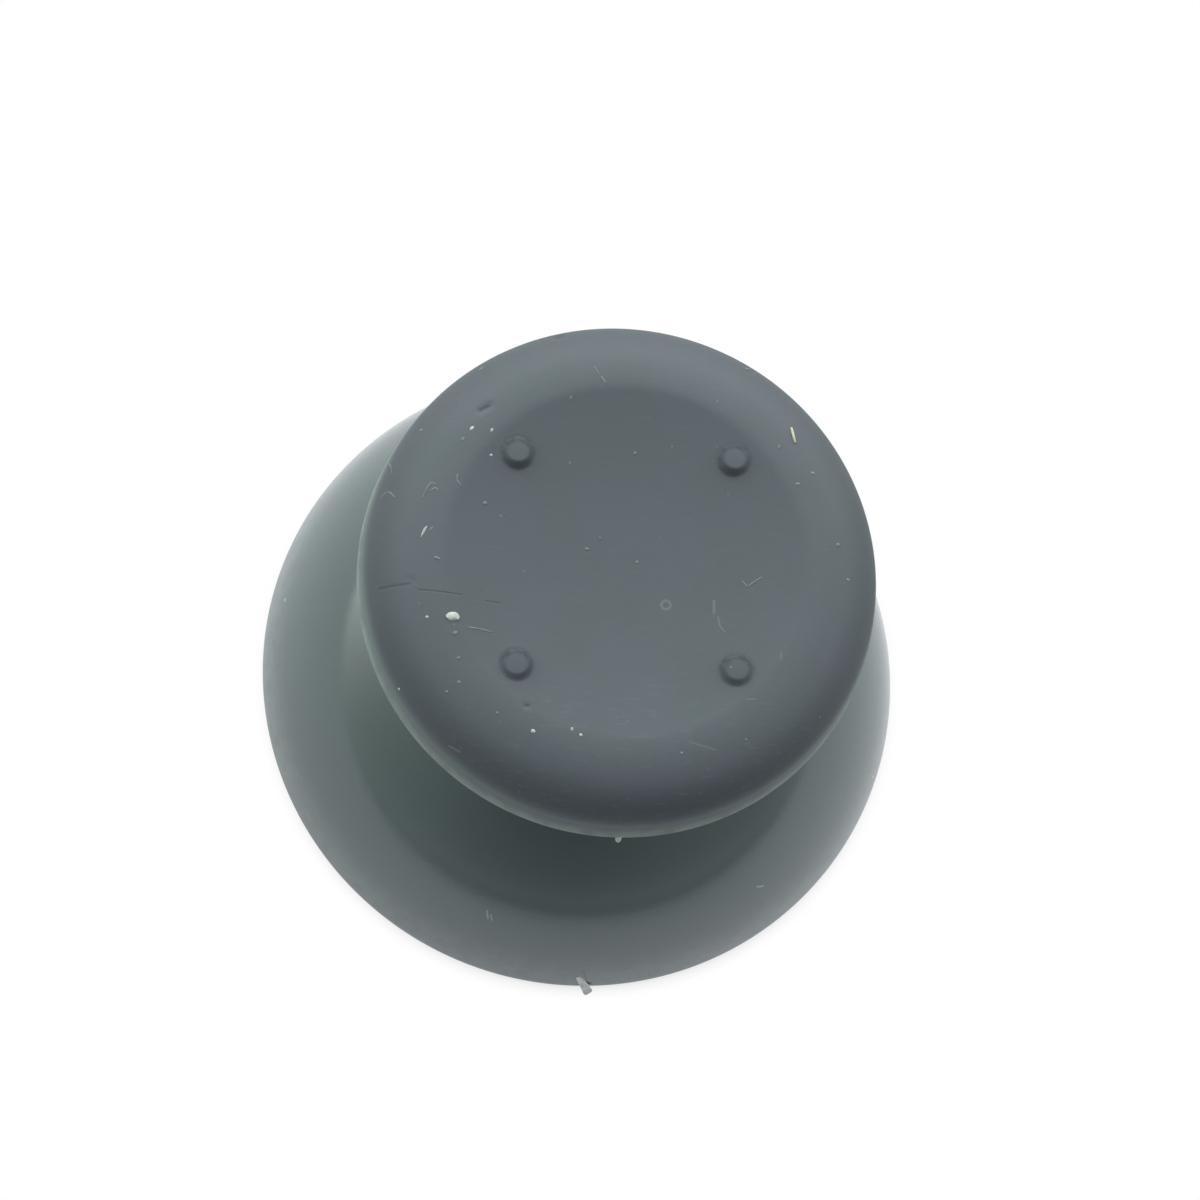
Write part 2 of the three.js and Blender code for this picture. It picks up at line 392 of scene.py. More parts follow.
def new_group(name, outputs=("Mask",), **inputs):
    """An empty node group that takes a position and more. Gives what goes in and its last node.

    An input is a number or a vector, as the value is that it starts with.
    """
    group = bpy.data.node_groups.new(name, "ShaderNodeTree")
    for label, value in {"Position": (0, 0, 0), **inputs}.items():
        kind = "NodeSocketFloat" if isinstance(value, float) else "NodeSocketVector"
        made = group.interface.new_socket(label, in_out="INPUT", socket_type=kind)
        made.default_value = value
    for label in outputs:
        group.interface.new_socket(label, in_out="OUTPUT", socket_type="NodeSocketFloat")
    given, out = (group.nodes.new(kind) for kind in ("NodeGroupInput", "NodeGroupOutput"))
    return group, given.outputs, out


# %% Group: fine grain of the mould, and slow changes of tone
def build_fine_grain():
    """Fine grain: quick noise gives the height, and noise twenty times slower gives the tone."""
    group, given, out = new_group("fine_grain", ("Height", "Tone"), Grains=8000.0)
    slow = math_node(group, "DIVIDE", given["Grains"], 20.0)
    fill(group, out, {
        "Height": noise(group, given["Position"], given["Grains"], 5, 0.62),
        "Tone": noise(group, given["Position"], slow, 4, 0.55),
    })
    return group


fine_grain = build_fine_grain()


# %% Group: settled dust
def build_dust():
    """Dust: a dot in the middle of some cells of a Voronoi pattern.

    A cell has a dot where its own random value is below the share, and the dot's edge is where
    the distance from the cell's middle reaches the size. Dots differ in size and strength.
    """
    group, given, out = new_group("settled_dust", Cells=900.0, Share=0.2, Size=0.12)
    cells = group.nodes.new("ShaderNodeTexVoronoi")
    fill(group, cells, {"Vector": given["Position"], "Scale": given["Cells"]})
    chance = group.nodes.new("ShaderNodeSeparateColor")
    fill(group, chance, {"Color": cells.outputs["Color"]})
    chosen = math_node(group, "LESS_THAN", chance.outputs["Red"], given["Share"])
    varied = math_node(group, "MULTIPLY_ADD", chance.outputs["Green"], 0.8, 0.4)
    faint = math_node(group, "MULTIPLY_ADD", chance.outputs["Blue"], 0.7, 0.3)
    size = math_node(group, "MULTIPLY", given["Size"], varied)
    core = math_node(group, "MULTIPLY", size, 0.45)
    dot = fade(group, cells.outputs["Distance"], core, size)
    shown = math_node(group, "MULTIPLY", dot, chosen)
    fill(group, out, {"Mask": math_node(group, "MULTIPLY", shown, faint)})
    return group


settled_dust = build_dust()


# %% Group: handling marks
def build_handling_marks():
    """Handling marks: noise squeezed across one direction, of which only the peaks are kept."""
    group, given, out = new_group(
        "handling_marks", Squeeze=(1.0, 12.0, 12.0), Marks=400.0, From=0.58
    )
    squeezed = vector_node(group, "MULTIPLY", given["Position"], given["Squeeze"])
    peaks = noise(group, squeezed, given["Marks"], 3, 0.6)
    full = math_node(group, "ADD", given["From"], 0.14)
    fill(group, out, {"Mask": fade(group, peaks, full, given["From"])})
    return group


handling_marks = build_handling_marks()


# %% Groups: one scratch, and one ring
def build_scratch():
    """Scratch: 1 on a straight line from Start to End, falling to 0 at Width from it.

    The nearest point of the line is Start plus the share of the way, held between 0 and 1.
    """
    group, given, out = new_group("scratch", Start=(0, 0, 0), End=(1, 0, 0), Width=0.0001)
    run = vector_node(group, "SUBTRACT", given["End"], given["Start"])
    reach = vector_node(group, "SUBTRACT", given["Position"], given["Start"])
    along = vector_node(group, "DOT_PRODUCT", reach, run)
    whole = vector_node(group, "DOT_PRODUCT", run, run)
    share = math_node(group, "DIVIDE", along, whole, clamp=True)
    away = vector_node(group, "DISTANCE", reach, vector_node(group, "MULTIPLY", run, share))
    fill(group, out, {"Mask": fade(group, away, 0.0, given["Width"])})
    return group


def build_ring():
    """Ring: 1 at Radius from Centre, falling to 0 at Width inside and outside it."""
    group, given, out = new_group("ring", Centre=(0, 0, 0), Radius=0.0005, Width=0.0001)
    reach = vector_node(group, "DISTANCE", given["Position"], given["Centre"])
    off = math_node(group, "ABSOLUTE", math_node(group, "SUBTRACT", reach, given["Radius"]))
    fill(group, out, {"Mask": fade(group, off, 0.0, given["Width"])})
    return group


scratch, ring = build_scratch(), build_ring()


# %% Group: painted light along an edge
def build_lit_edge():
    """Painted light at an edge: 1 on a circle round the axis, falling to 0 at Reach, broken by
    noise.

    The distance is that of (radius, height) from (Radius, Height), where the radius is the
    length of the position without its height.
    """
    group, given, out = new_group(
        "lit_edge", Radius=0.01, Height=0.01, Reach=0.0005, Breaks=1500.0
    )
    position = given["Position"]
    radius = vector_node(group, "LENGTH", vector_node(group, "MULTIPLY", position, IN_PLAN))
    height = vector_node(group, "DOT_PRODUCT", position, UPWARDS)
    aside = math_node(group, "SUBTRACT", radius, given["Radius"])
    above = math_node(group, "SUBTRACT", height, given["Height"])
    squares = (math_node(group, "MULTIPLY", side, side) for side in (aside, above))
    away = math_node(group, "SQRT", math_node(group, "ADD", *squares))
    near = fade(group, away, 0.0, given["Reach"])
    broken = fade(group, noise(group, position, given["Breaks"], 3), 0.62, 0.3)
    share = math_node(group, "MULTIPLY_ADD", broken, 0.5, 0.5)
    fill(group, out, {"Mask": math_node(group, "MULTIPLY", near, share)})
    return group


lit_edge = build_lit_edge()
print("shared groups:", [g.name for g in bpy.data.node_groups])


# %% Using the groups in a material
def place_group(tree, group, position, **values):
    """A node of the group in a material, at a position and with its own values."""
    node = tree.nodes.new("ShaderNodeGroup")
    node.node_tree = group
    fill(tree, node, {"Position": position, **values})
    return node.outputs


def new_finish(name):
    """A material with only a Principled BSDF, and the object's own coordinates to read."""
    material = bpy.data.materials.new(name)
    material.use_nodes = True
    tree = material.node_tree
    position = tree.nodes.new("ShaderNodeTexCoord").outputs["Object"]
    return material, tree, tree.nodes["Principled BSDF"], position


def relief(tree, height, distance, strength=1.0, before=None):
    """The normal of a Bump node of that height, on top of an earlier one."""
    node = tree.nodes.new("ShaderNodeBump")
    fill(tree, node, {"Distance": distance, "Strength": strength, "Height": height})
    if before is not None:
        fill(tree, node, {"Normal": before})
    return node.outputs["Normal"]


# %% [markdown]
# ## The hard moulding
# The stick is one injection moulding. Seen from above it is a polished dome that runs into a
# narrow neck under the pad. From below it is hollow: a post with a double-D socket hangs from
# the middle, and four thin webs brace it. Everything but the webs is one profile turned about
# the axis, so it is made as one grid of rings. Only the socket isn't round: there the radius
# of a ring depends on the angle, and two flats cut the circle.

# %% Profile of the moulding
OUTER_STEP = 0.14
INNER_STEP = 0.3
EDGE_STEP = 0.04


def sphere_height(radius, sphere):
    """Height of a sphere round the dome's centre, at that radius from the axis."""
    return dome_centre[1] + np.sqrt(sphere**2 - radius**2)


def hollow_profile():
    """Profile of the underside: the post's end and side, the ceiling and the skirt's inside."""
    fillet_x = post_radius + CEILING_FILLET
    fillet = np.array([fillet_x, sphere_height(fillet_x, inner_dome_radius - CEILING_FILLET)])
    rim_drop = INNER_RIM_ROUND - dome_centre[1]
    inner_rim_x = math.sqrt((inner_dome_radius + INNER_RIM_ROUND) ** 2 - rim_drop**2)
    inner_rim = np.array([inner_rim_x, INNER_RIM_ROUND])
    onto_fillet, onto_rim = fillet - dome_centre, inner_rim - dome_centre
    mouth = (SOCKET_RADIUS + LEAD_IN, POST_RECESS)
    end_centre = (post_radius - POST_ROUND, POST_RECESS + POST_ROUND)
    return outline(
        line(mouth, (end_centre[0], POST_RECESS), INNER_STEP),
        arc(end_centre, (POST_ROUND, POST_ROUND), -math.pi / 2, 0, EDGE_STEP),
        line((post_radius, end_centre[1]), (post_radius, fillet[1]), 4 * INNER_STEP),
        arc_between(fillet, CEILING_FILLET, (-1, 0), onto_fillet, 2 * EDGE_STEP),
        arc_between(dome_centre, inner_dome_radius, onto_fillet, onto_rim, INNER_STEP),
        arc_between(inner_rim, INNER_RIM_ROUND, -onto_rim, (0, -1), EDGE_STEP),
    )


def outer_profile():
    """Profile of the outside: rim, dome, neck, the flange's underside and its edge."""
    onto_rim = rim_centre - dome_centre
    onto_dome = dome_fillet_centre - dome_centre
    onto_underside = (-math.sin(UNDERSIDE_RISE), math.cos(UNDERSIDE_RISE))
    return outline(
        arc_between(rim_centre, RIM_ROUND, (0, -1), onto_rim, EDGE_STEP),
        arc_between(dome_centre, dome_radius, onto_rim, onto_dome, OUTER_STEP),
        arc_between(dome_fillet_centre, DOME_FILLET, -onto_dome, (-1, 0), OUTER_STEP),
        arc_between(flange_fillet_centre, FLANGE_FILLET, (-1, 0), onto_underside, OUTER_STEP),
        line((flange_radius, pad_underside), (flange_radius, flange_top), INNER_STEP),
        line((flange_radius, flange_top), (FLANGE_MIDDLE, flange_top), 8 * INNER_STEP),
    )


# %% Rings of the socket and of the whole moulding
BODY_TURNS = 320
SOCKET_STEP = 0.05
SOCKET_FINE = 1.0
SOCKET_COARSE_RINGS = 7
FLOOR_SHARES = (0.3, 0.65, 0.9)


def body_angles():
    """Even angles, but with one exactly at each corner between a flat and the round."""
    angles = even_angles(BODY_TURNS)
    corner = math.asin(SOCKET_FLATS / 2 / SOCKET_RADIUS)
    for exact in (corner, math.pi - corner, math.pi + corner, 2 * math.pi - corner):
        angles[np.abs(angles - exact).argmin()] = exact
    return angles


def socket_rings(angles):
    """Rings of the socket, from the middle of its floor down its wall to the mouth.

    The wall's radius is the smaller of the circle and of the flat's distance over the sine,
    and never smaller than the cone of the mouth, which narrows as much as it rises.
    """
    flat = SOCKET_FLATS / 2 / np.maximum(np.abs(np.sin(angles)), 1e-6)
    double_d = np.minimum(SOCKET_RADIUS, flat)
    floor_z = POST_RECESS + SOCKET_DEPTH
    floor_radius = np.array(FLOOR_SHARES)[:, None] * double_d
    floor_height = floor_z + 0 * floor_radius
    fine_from = POST_RECESS + SOCKET_FINE
    height = np.concatenate([
        np.linspace(floor_z, fine_from, SOCKET_COARSE_RINGS, endpoint=False),
        np.arange(fine_from, POST_RECESS + 1e-6, -SOCKET_STEP),
    ])[:, None]
    cone = SOCKET_RADIUS + LEAD_IN - (height - POST_RECESS)
    wall_radius = np.maximum(double_d, cone)
    radius = np.concatenate([floor_radius, wall_radius])
    level = np.concatenate([floor_height, height + 0 * wall_radius])
    return turned(radius, level, angles)


angles = body_angles()
body_profile = outline(hollow_profile(), outer_profile())
body_rings = np.concatenate([
    socket_rings(angles),
    turned(body_profile[:, :1], body_profile[:, 1:], angles),
])
body_form = closed_form(body_rings, (0, 0, POST_RECESS + SOCKET_DEPTH), (0, 0, flange_top))
print(f"moulding: {len(body_rings)} rings of {BODY_TURNS} points")


# %% [markdown]
# ## The webs
# Each web is a thin wall between the post and the inside of the dome. Its lower edge swings
# up in a curve and has rounded corners, as a moulded wall has. It is a section carried outwards
# along that curve: down one face, round the edge and up the other, with its top buried in the
# dome's wall.

# %% Webs
WEB_STATIONS = 24
WEB_CORNER_POINTS = 5


def web_form(turn):
    """One web. A point is set by how far it is along the lower curve and round the section.

    The lower curve is a quadratic Bezier curve from the post to where the web runs out.
    """
    root = SOCKET_RADIUS + POST_WALL / 2
    reach = post_radius + WEB_LENGTH
    lowest = sphere_height(post_radius, inner_dome_radius) - WEB_HEIGHT
    run_out = sphere_height(reach, inner_dome_radius)
    t = np.linspace(0, 1, WEB_STATIONS)
    shares = np.stack([(1 - t) ** 2, 2 * t * (1 - t), t**2], axis=1)
    along = np.append(root, shares @ [post_radius, post_radius + WEB_HEIGHT / 2, reach])
    below = np.append(lowest, shares @ [lowest, run_out, run_out])[:, None]
    above = sphere_height(along, inner_dome_radius + SKIRT_WALL / 2)[:, None]

    half = WEB_THICKNESS / 2
    corner = np.linspace(0, math.pi / 2, WEB_CORNER_POINTS)
    inset = WEB_ROUND * (1 - np.cos(corner))
    lift = WEB_ROUND * (1 - np.sin(corner))
    across = np.concatenate([[-half], inset - half, half - inset[::-1], [half]])
    height = np.hstack([above, below + lift, below + lift[::-1], above])
    rings = np.stack([along[:, None] + 0 * height, across + 0 * height, height], axis=-1)
    rings = spun(rings, turn)
    return closed_form(rings, rings[0].mean(0), rings[-1].mean(0))


web_forms = [web_form(turn) for turn in even_angles(WEB_COUNT) + math.pi / WEB_COUNT]


# %% [markdown]
# ## The pad
# The pad is soft rubber, moulded round the flange's edge and over its top. Its side leans in a
# little, the shoulder rolls over to a broad crest, and inside the crest lies a shallow dish for
# the thumb. It is one profile turned about the axis. The photograph shows a small dent beside
# the upper left bump, a pit below the lower left one and a nick in the far edge, so the grid is
# fine enough to press these into the surface itself.

# %% Profile of the pad
PAD_TURNS = 480
PAD_STEP = 0.1


def dish_height(radius):
    """Height of the dish: its sphere's lowest side, at that radius from the axis."""
    return dish_centre[1] - np.sqrt(dish_radius**2 - radius**2)


def pad_profile():
    """Profile of the pad: flange's top and edge, then round the outside and into the dish."""
    shoulder_centre = (CREST_RADIUS, crest_height - SHOULDER_DROP)
    shoulder_reach = PAD_RADIUS - SIDE_DRAFT - CREST_RADIUS
    edge_centre = (PAD_RADIUS - PAD_EDGE_ROUND, pad_underside + PAD_EDGE_ROUND)
    dish_edge = CREST_RADIUS * dish_radius / dish_sum
    dish_r = np.linspace(dish_edge, 0, math.ceil(dish_edge / PAD_STEP) + 1)[1:-1]
    return outline(
        line((FLANGE_MIDDLE, flange_top), (flange_radius, flange_top), 20 * PAD_STEP),
        line((flange_radius, flange_top), (flange_radius, pad_underside), 4 * PAD_STEP),
        line((flange_radius, pad_underside), (edge_centre[0], pad_underside), 2 * PAD_STEP),
        arc(edge_centre, (PAD_EDGE_ROUND, PAD_EDGE_ROUND), -math.pi / 2, 0, EDGE_STEP),
        line(
            (PAD_RADIUS, edge_centre[1]),
            (PAD_RADIUS - SIDE_DRAFT, shoulder_centre[1]),
            PAD_STEP,
        ),
        arc(shoulder_centre, (shoulder_reach, SHOULDER_DROP), 0, math.pi / 2, PAD_STEP),
        arc_between(crest_centre, CREST_ROUND, (0, 1), dish_centre - crest_centre, PAD_STEP / 2),
        np.stack([dish_r, dish_height(dish_r)], axis=1),
    )


pad_outline = pad_profile()
pad_rings = turned(pad_outline[:, :1], pad_outline[:, 1:], even_angles(PAD_TURNS))
pad_poles = (0, 0, flange_top), (0, 0, dish_height(0))
smooth_pad = closed_form(pad_rings, *pad_poles)
print(f"pad: {len(pad_rings)} rings of {PAD_TURNS} points")


# %% [markdown]
# ## Finding a place on the cap from the photograph
# A small mark is known by its pixel. The ray through that pixel is followed until it meets the
# cap, and the mark is put there, so it lies on the surface from every side and not only in
# the camera's view.

# %% Rays onto the cap
def search_tree(*forms):
    """A tree of the forms' faces that rays can be sent through, in millimetres."""
    points, quads, fans = joined(forms)
    return BVHTree.FromPolygons(points.tolist(), quads.tolist() + fans.tolist())


cap_tree = search_tree(body_form, smooth_pad)


def on_cap(pixel):
    """Place and outward direction of the cap's surface under a pixel, in millimetres."""
    ray = Vector(pixel_ray(pixel)).normalized()
    place, facing, _, _ = cap_tree.ray_cast(Vector(cam_place), ray)
    if place is None:
        raise ValueError(f"the ray through {pixel} misses the cap")
    return np.array(place), np.array(facing)


# %% Dents in the pad
PRESSED = {
    "dent by the upper left bump": ((480, 411), (490, 405), 0.10, 0.07),
    "pit below the lower left bump": ((526, 706), (528, 706), 0.09, 0.04),
    "nick in the far edge": ((556, 337), (561, 336), 0.12, 0.1),
    "mark on the left": ((409, 579), (413, 581), 0.09, 0.03),
}


def pressed(rings, start, stop, width, depth):
    """The rings with a dent between two places.

    Each point sinks along the surface's inward direction by the depth times e to the minus
    square of its distance from the line over the width.
    """
    along = np.gradient(rings, axis=0)
    around = np.roll(rings, -1, axis=1) - np.roll(rings, 1, axis=1)
    inward = np.cross(along, around)
    inward /= np.maximum(np.linalg.norm(inward, axis=-1, keepdims=True), 1e-9)
    inward = np.where(inward[..., 2:] > 0, -inward, inward)
    run = stop - start
    share = np.clip(((rings - start) @ run) / (run @ run), 0, 1)
    away = np.linalg.norm(rings - start - share[..., None] * run, axis=-1, keepdims=True)
    return rings + inward * depth * np.exp(-((away / width) ** 2))


for start_pixel, stop_pixel, width, depth in PRESSED.values():
    pad_rings = pressed(pad_rings, on_cap(start_pixel)[0], on_cap(stop_pixel)[0], width, depth)
pad_form = closed_form(pad_rings, *pad_poles)


# %% [markdown]
# ## Finish of the hard moulding
# The skirt is polished grey-green plastic. Its look is mostly reflection: the white table in a
# band above the rim, and a dark room above that. A slightly uneven roughness and a trace of
# orange peel keep the reflections from looking drawn. Hairline marks and a little dust break
# them here and there. Painted light pales the skirt towards its rim, and a painted shadow lies
# beside the flash.

# %% Marks laid through pixels
def marks_of(tree, position, places, together=0.0):
    """The strongest of several scratches laid through pixels of the photograph.

    Each is a straight line seen from above, so it follows the surface up and down.
    """
    flat = vector_node(tree, "MULTIPLY", position, IN_PLAN)
    for start_pixel, stop_pixel, width in places.values():
        start, stop = (on_cap(p)[0] * IN_PLAN * MM for p in (start_pixel, stop_pixel))
        mark = place_group(tree, scratch, flat, Start=start, End=stop, Width=width * MM)
        together = math_node(tree, "MAXIMUM", mark["Mask"], together)
    return together


# %% Hard plastic
PLASTIC_COLOUR = (0.073, 0.111, 0.109, 1.0)
PLASTIC_DARK = (0.060, 0.091, 0.089, 1.0)
# dark marks: a real dot, and the painted shadow beside the flash
PLASTIC_STAIN_AND_SHADOW = (0.03, 0.04, 0.04, 1.0)
# painted light colour, pale towards the skirt's rim
PLASTIC_RIM_LIGHT = (0.29, 0.32, 0.31, 1.0)
PLASTIC_ROUGHNESS = 0.095
PLASTIC_UNEVEN = 0.04
HAIRLINE_ROUGHNESS = 0.06
DUST_ROUGHNESS = 0.4
PLASTIC_IOR = 1.75
PLASTIC_SHEEN = {"Sheen Weight": 0.14, "Sheen Roughness": 0.45}
PLASTIC_GRAINS = 2600.0
PLASTIC_HAIRLINES = {"Squeeze": (1.0, 24.0, 6.0), "Marks": 220.0, "From": 0.64}
PLASTIC_DUST = {"Cells": 700.0, "Share": 0.06, "Size": 0.04}
# reach and share of the painted light along the skirt's rim
RIM_REACH = 2.4
RIM_SHARE = 0.3
PALE_SHARE = 0.6
STAIN_AND_SHADOW_SHARE = 0.5
ORANGE_PEEL = 0.01
ORANGE_PEEL_SHARE = 0.4
DUST_COLOUR = (0.42, 0.45, 0.44, 1.0)
PALE_MARKS = {
    "upright one at the front": ((487, 911), (488, 918), 0.05),
    "short one beside it": ((491, 915), (492, 920), 0.04),
    "level one at the front right": ((757, 887), (763, 886), 0.05),
    "spot at the left": ((285, 599), (285, 601), 0.05),
    "spot at the right": ((872, 776), (873, 777), 0.05),
}
DARK_MARKS = {
    # painted shadow of the flash on the skirt
    "beside the flash": ((583, 971), (586, 979), 0.09),
    "dot near the front edge": ((649, 974), (649, 975), 0.05),
}


def plastic_finish():
    """Glossy moulded plastic: tone from slow noise, roughness from tone and hairline marks."""
    material, tree, shader, position = new_finish("gloss_plastic")
    grain = place_group(tree, fine_grain, position, Grains=PLASTIC_GRAINS)
    hairlines = place_group(tree, handling_marks, position, **PLASTIC_HAIRLINES)
    dust = place_group(tree, settled_dust, position, **PLASTIC_DUST)
    # painted light: the skirt turns paler towards its rim
    rim = place_group(
        tree, lit_edge, position,
        Radius=SKIRT_RADIUS * MM, Height=RIM_ROUND * MM, Reach=RIM_REACH * MM,
    )
    worn = math_node(tree, "MULTIPLY", rim["Mask"], RIM_SHARE)
    pale = math_node(tree, "MULTIPLY", marks_of(tree, position, PALE_MARKS), PALE_SHARE)
    # a real dark dot and the flash's painted shadow
    stain_and_shadow = math_node(tree, "MULTIPLY", marks_of(tree, position, DARK_MARKS), STAIN_AND_SHADOW_SHARE)
    dusty = math_node(tree, "MAXIMUM", dust["Mask"], pale)
    plain = mix_colour(tree, grain["Tone"], PLASTIC_DARK, PLASTIC_COLOUR)
    fill(tree, shader, {
        "Base Color": layered(
            tree, plain, (worn, PLASTIC_RIM_LIGHT), (stain_and_shadow, PLASTIC_STAIN_AND_SHADOW), (dusty, DUST_COLOUR)
        ),
        "Roughness": roughened(
            tree, PLASTIC_ROUGHNESS, (grain["Tone"], PLASTIC_UNEVEN),
            (hairlines["Mask"], HAIRLINE_ROUGHNESS), (dust["Mask"], DUST_ROUGHNESS),
        ),
        "Normal": relief(tree, grain["Height"], ORANGE_PEEL * MM, ORANGE_PEEL_SHARE),
        "IOR": PLASTIC_IOR,
        **PLASTIC_SHEEN,
    })
    return material


hard_plastic = plastic_finish()
stick = make_piece("stick_moulding", [body_form], hard_plastic)
webs = make_piece("stick_webs", web_forms, hard_plastic)
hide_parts("stick_body")

# %% [markdown]
# ## The bumps
# Four small bumps stand on the wall of the dish. Each has a nearly flat top and a soft side
# that runs out into the dish, as worn rubber has. Its height is measured from the dish below
# it, so the foot follows the slope, while the top stays level.

# %% Bumps
BUMP_TURNS = 48
BUMP_FOOT = 0.004
BUMP_SUNK = 0.35
BUMP_TOP_RINGS = (0.3, 0.6, 0.85)
BUMP_SIDE_RINGS = 17


def bump_form(turn):
    """One bump. Its height over the dish depends on the distance from its own middle.

    The top is level and a little crowned, by one minus the square of the share of its radius.
    The side falls as half of one plus the cosine of the share of the way down, times pi.
    """
    worn = BUMP_HEIGHT - BUMP_WEAR
    top = np.array(BUMP_TOP_RINGS)
    fall = np.linspace(0, 1, BUMP_SIDE_RINGS)
    profile = outline(
        np.stack([top * BUMP_TOP, worn + BUMP_CROWN * (1 - top**2)], axis=1),
        np.stack([
            BUMP_TOP + (BUMP_SPREAD - BUMP_TOP) * fall,
            worn * (1 + np.cos(math.pi * fall)) / 2,
        ], axis=1),
    )
    r, h = profile[:, :1], profile[:, 1:]
    shown = turned(r, h, even_angles(BUMP_TURNS))
    x, y = shown[..., 0] + bump_ring, shown[..., 1]
    foot = dish_height(bump_ring)
    slope = dish_height(np.hypot(x, y)) - foot
    level = np.clip(h / worn, 0, 1)
    shown = np.stack([x, y, foot + slope * (1 - level) + h], axis=-1)
    sunk = shown[-1:] - [0, 0, BUMP_SUNK]
    shown[-1] -= [0, 0, BUMP_FOOT]
    rings = spun(np.concatenate([shown, sunk]), turn)
    rings[:-1, :, 1] += BUMP_LEAN * level
    top_pole = spun(np.array([bump_ring, 0, foot + worn + BUMP_CROWN]), turn)
    return closed_form(rings, top_pole + [0, BUMP_LEAN, 0], rings[-1].mean(0))


bump_forms = [bump_form(turn) for turn in even_angles(BUMP_COUNT) + math.pi / BUMP_COUNT]


# %% [markdown]
# ## Finish of the rubber
# The pad is matt blue-grey rubber with the fine grain of its mould. In the photograph it has
# dust all over, faint streaks on the near shoulder, dark creases round the bumps, and some
# scratches. The scratches are laid where the photograph shows them. The dark creases are
# painted shade, as is the darker shoulder, and the paler side, crest and lower edge are painted
# light.

# %% Tones of the rubber, with painted light and shade
RUBBER_COLOUR = (0.110, 0.124, 0.150, 1.0)
RUBBER_GREEN = (0.104, 0.127, 0.138, 1.0)
# painted light colour of the crest and of the pad's lower edge
RUBBER_PAINTED_LIGHT = (0.28, 0.33, 0.31, 1.0)
# painted light colour of the pad's side
RUBBER_SIDE_LIGHT = (0.123, 0.157, 0.160, 1.0)
# painted shade colour of the shoulder
RUBBER_SHOULDER_SHADE = (0.079, 0.092, 0.109, 1.0)
RUBBER_DARK = (0.045, 0.055, 0.066, 1.0)
SCUFF_COLOUR = (0.20, 0.225, 0.235, 1.0)
TONE_SPLIT = (0.62, 0.38)
SHOULDER_FROM = 7.3
SHOULDER_FULL = 8.4
SIDE_FULL = 13.9
SIDE_TO = 14.6
# painted light on the crest, fading in between these radii
CREST_LIGHT_FROM = 5.8
CREST_LIGHT_TO = 6.5
CREST_LIGHT_SHARE = 0.05
# reach and share of the painted light along the pad's lower edge
EDGE_REACH = 0.95
EDGE_SHARE = 0.85


def rubber_tones(tree, position, tone):
    """Two close tones, painted shade on the shoulder, painted light on side, crest and edge."""
    # painted light along the pad's lower edge
    lower_edge = place_group(
        tree, lit_edge, position,
        Radius=PAD_RADIUS * MM, Height=(pad_underside + PAD_EDGE_ROUND) * MM, Reach=EDGE_REACH * MM,
    )
    reach = vector_node(tree, "LENGTH", vector_node(tree, "MULTIPLY", position, IN_PLAN))
    height = vector_node(tree, "DOT_PRODUCT", position, UPWARDS)
    # painted shade: the shoulder darkens from SHOULDER_FROM to SHOULDER_FULL
    shoulder = fade(tree, reach, SHOULDER_FULL * MM, SHOULDER_FROM * MM)
    # painted light: the pad's side is paler and greener below SIDE_TO
    side = fade(tree, height, SIDE_FULL * MM, SIDE_TO * MM)
    # painted light on the crest
    crest_light = fade(tree, reach, CREST_LIGHT_TO * MM, CREST_LIGHT_FROM * MM)
    crest_light = math_node(tree, "MULTIPLY", crest_light, CREST_LIGHT_SHARE)
    worn = math_node(tree, "MULTIPLY", lower_edge["Mask"], EDGE_SHARE)
    # pale is painted light on the crest and the lower edge
    pale = math_node(tree, "MAXIMUM", crest_light, worn)
    plain = mix_colour(tree, fade(tree, tone, *TONE_SPLIT), RUBBER_COLOUR, RUBBER_GREEN)
    return layered(
        tree, plain, (shoulder, RUBBER_SHOULDER_SHADE), (side, RUBBER_SIDE_LIGHT), (pale, RUBBER_PAINTED_LIGHT)
    )


# %% Painted shade round the bumps
# painted shade in the creases round the bumps
CREASE_RADIUS = 0.50
CREASE_WIDTH = 0.17
CREASE_BEHIND = 0.35
CREASE_BEFORE = -0.25
CREASE_IN_FRONT = 0.25
# noise that breaks up the painted crease shade
SHADE_BREAK_SCALE = 4500.0
SHADE_BREAK_SPLIT = (0.62, 0.34)
SHADE_BREAK_LEAST = 0.55


def painted_crease_shade(tree, position):
    """Two rings of painted shade, broken up by noise, most of it behind the bumps.

    The rings lie in a position whose X is always positive, so two of them go round four bumps.
    """
    sides = vector_node(tree, "MULTIPLY", vector_node(tree, "ABSOLUTE", position), (1.0, 0.0, 0.0))
    folded = vector_node(tree, "MULTIPLY_ADD", position, (0.0, 1.0, 1.0), sides)
    depth = vector_node(tree, "DOT_PRODUCT", position, BACKWARDS)
    middle = bump_ring * math.sqrt(0.5)
    creases = []
    for bump_y in (middle, -middle):
        around = place_group(
            tree, ring, folded,
            Centre=(middle * MM, bump_y * MM, dish_height(bump_ring) * MM),
            Radius=CREASE_RADIUS * MM, Width=CREASE_WIDTH * MM,
        )
        behind = fade(tree, depth, (bump_y + CREASE_BEHIND) * MM, (bump_y + CREASE_BEFORE) * MM)
        share = math_node(tree, "MULTIPLY_ADD", behind, 1 - CREASE_IN_FRONT, CREASE_IN_FRONT)
        creases.append(math_node(tree, "MULTIPLY", around["Mask"], share))
    shade_breaks = fade(tree, noise(tree, position, SHADE_BREAK_SCALE, 3), *SHADE_BREAK_SPLIT)
    shade_breaks = math_node(tree, "MULTIPLY_ADD", shade_breaks, 1 - SHADE_BREAK_LEAST, SHADE_BREAK_LEAST)
    return math_node(tree, "MULTIPLY", math_node(tree, "MAXIMUM", *creases), shade_breaks)


